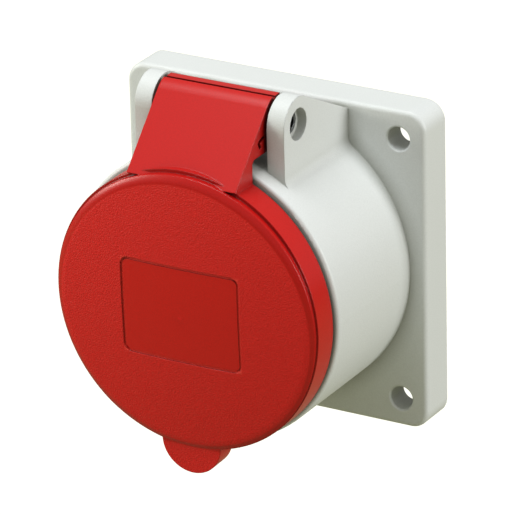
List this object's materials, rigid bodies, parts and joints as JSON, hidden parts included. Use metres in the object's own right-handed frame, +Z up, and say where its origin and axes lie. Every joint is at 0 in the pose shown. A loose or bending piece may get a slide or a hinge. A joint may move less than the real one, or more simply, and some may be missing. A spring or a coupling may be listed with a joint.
{
  "type": "industrial panel socket",
  "caption": "Round industrial panel socket on a square flange, with a sprung hinged lid, a grip tab, resilient pin sleeves and rear screw terminals.",
  "frame": {"origin": "centre of the flange's back face, on the barrel's axis", "axes": "+Z up towards the hinge, -Y out of the panel through the lid, +X to the viewer's right"},
  "size_m": [0.085, 0.0791, 0.0968],
  "materials": {
    "housing_grey": "fine moulded texture",
    "lid_red": "glossy with a fine-textured face",
    "rubber_black": "matte",
    "insert_black": "satin",
    "block_black": "satin",
    "screw_steel": "zinc plated",
    "contact_brass": "turned",
    "spring_steel": "drawn wire",
    "pin_steel": "drawn, hollow ends"
  },
  "bodies": {
    "socket": {"housing": "housing_grey", "panel_gasket": "rubber_black", "contact_insert": "insert_black", "terminal_block": "block_black", "insert_screws": "screw_steel", "block_screw": "screw_steel", "contact_pe": "contact_brass", "contact_l1": "contact_brass", "contact_l2": "contact_brass", "contact_l3": "contact_brass", "contact_n": "contact_brass", "ring_pe": "spring_steel", "ring_l1": "spring_steel", "ring_l2": "spring_steel", "ring_l3": "spring_steel", "ring_n": "spring_steel", "terminal_screws": "screw_steel", "hinge_pin": "pin_steel", "lid_spring": "spring_steel"},
    "lid": {"lid": "lid_red", "lid_gasket": "rubber_black"}
  },
  "joints": [
    {"name": "lid_hinge", "type": "hinge", "parent": "socket", "child": "lid", "pos_m": [0, -0.0353, 0.0452], "axis": [-1, 0, 0], "range_deg": [0, 120], "stiffness_Nm_per_rad": 0.036, "springref_deg": -80.21, "deforming": ["lid_spring"]}
  ]
}
